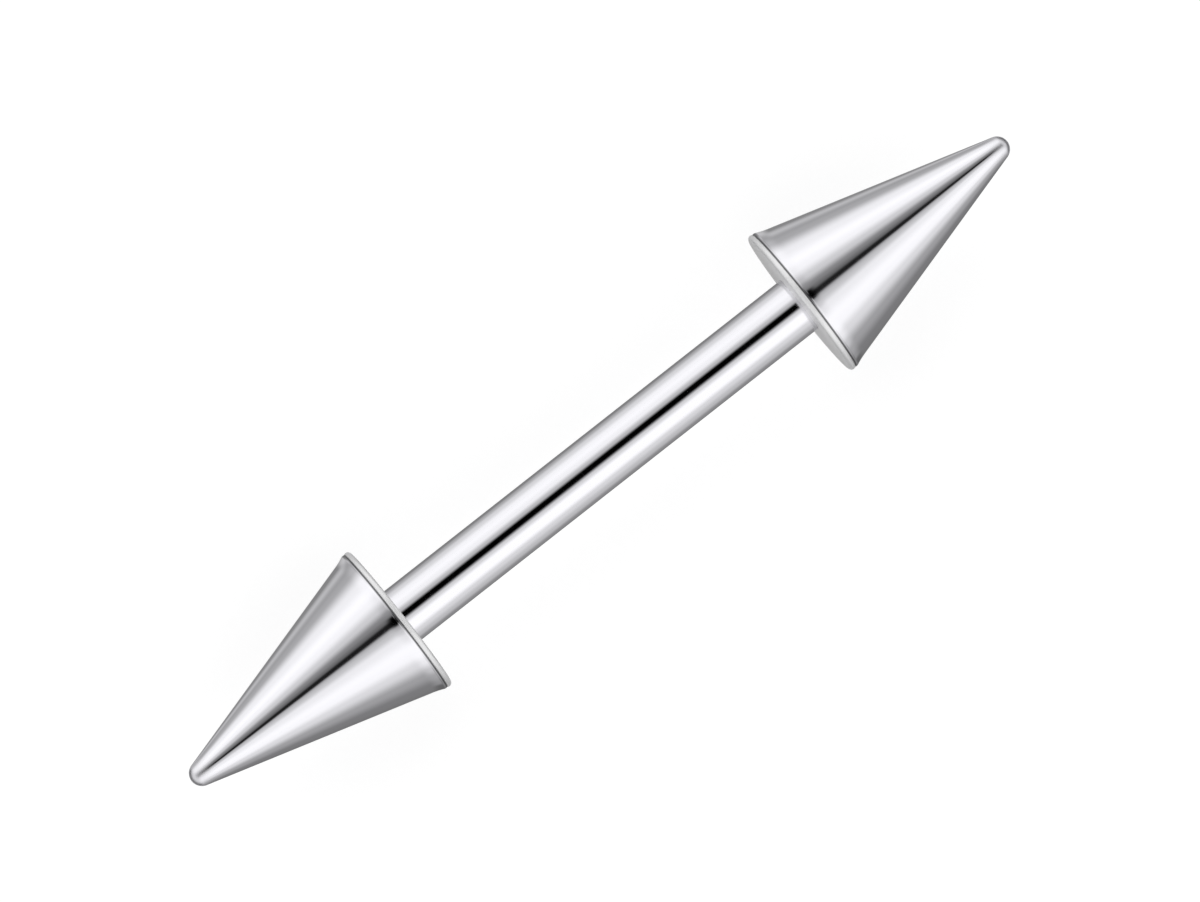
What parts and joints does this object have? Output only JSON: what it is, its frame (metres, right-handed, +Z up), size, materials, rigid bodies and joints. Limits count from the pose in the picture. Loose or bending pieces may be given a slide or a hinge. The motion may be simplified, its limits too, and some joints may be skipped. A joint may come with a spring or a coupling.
{
  "type": "piercing barbell",
  "caption": "Straight polished steel piercing barbell with a long pointed cone screwed onto each end of the bar.",
  "frame": {"origin": "on the surface that the barbell lies on, under the middle of the bar", "axes": "+X runs along the bar towards right_cone's tip, +Z is up from the surface, and the bar's own axis is 2.2 mm above it"},
  "size_m": [0.027, 0.0044, 0.0044],
  "materials": {
    "bar_steel": "bare surgical steel drawn to gauge and polished to a mirror; the threads on its ends are cut and left a little duller",
    "cone_steel": "bare surgical steel turned to shape and polished to a mirror, with very fine turning marks round it"
  },
  "bodies": {
    "bar": {"bar": "bar_steel"},
    "left_cone": {"left_cone": "cone_steel"},
    "right_cone": {"right_cone": "cone_steel"}
  },
  "joints": [
    {"name": "left_cone_slide", "type": "slide", "parent": "bar", "child": "left_cone", "axis": [-1, 0, 0], "range_m": [0, 0.02]},
    {"name": "right_cone_slide", "type": "slide", "parent": "bar", "child": "right_cone", "axis": [1, 0, 0], "range_m": [0, 0.02]}
  ]
}
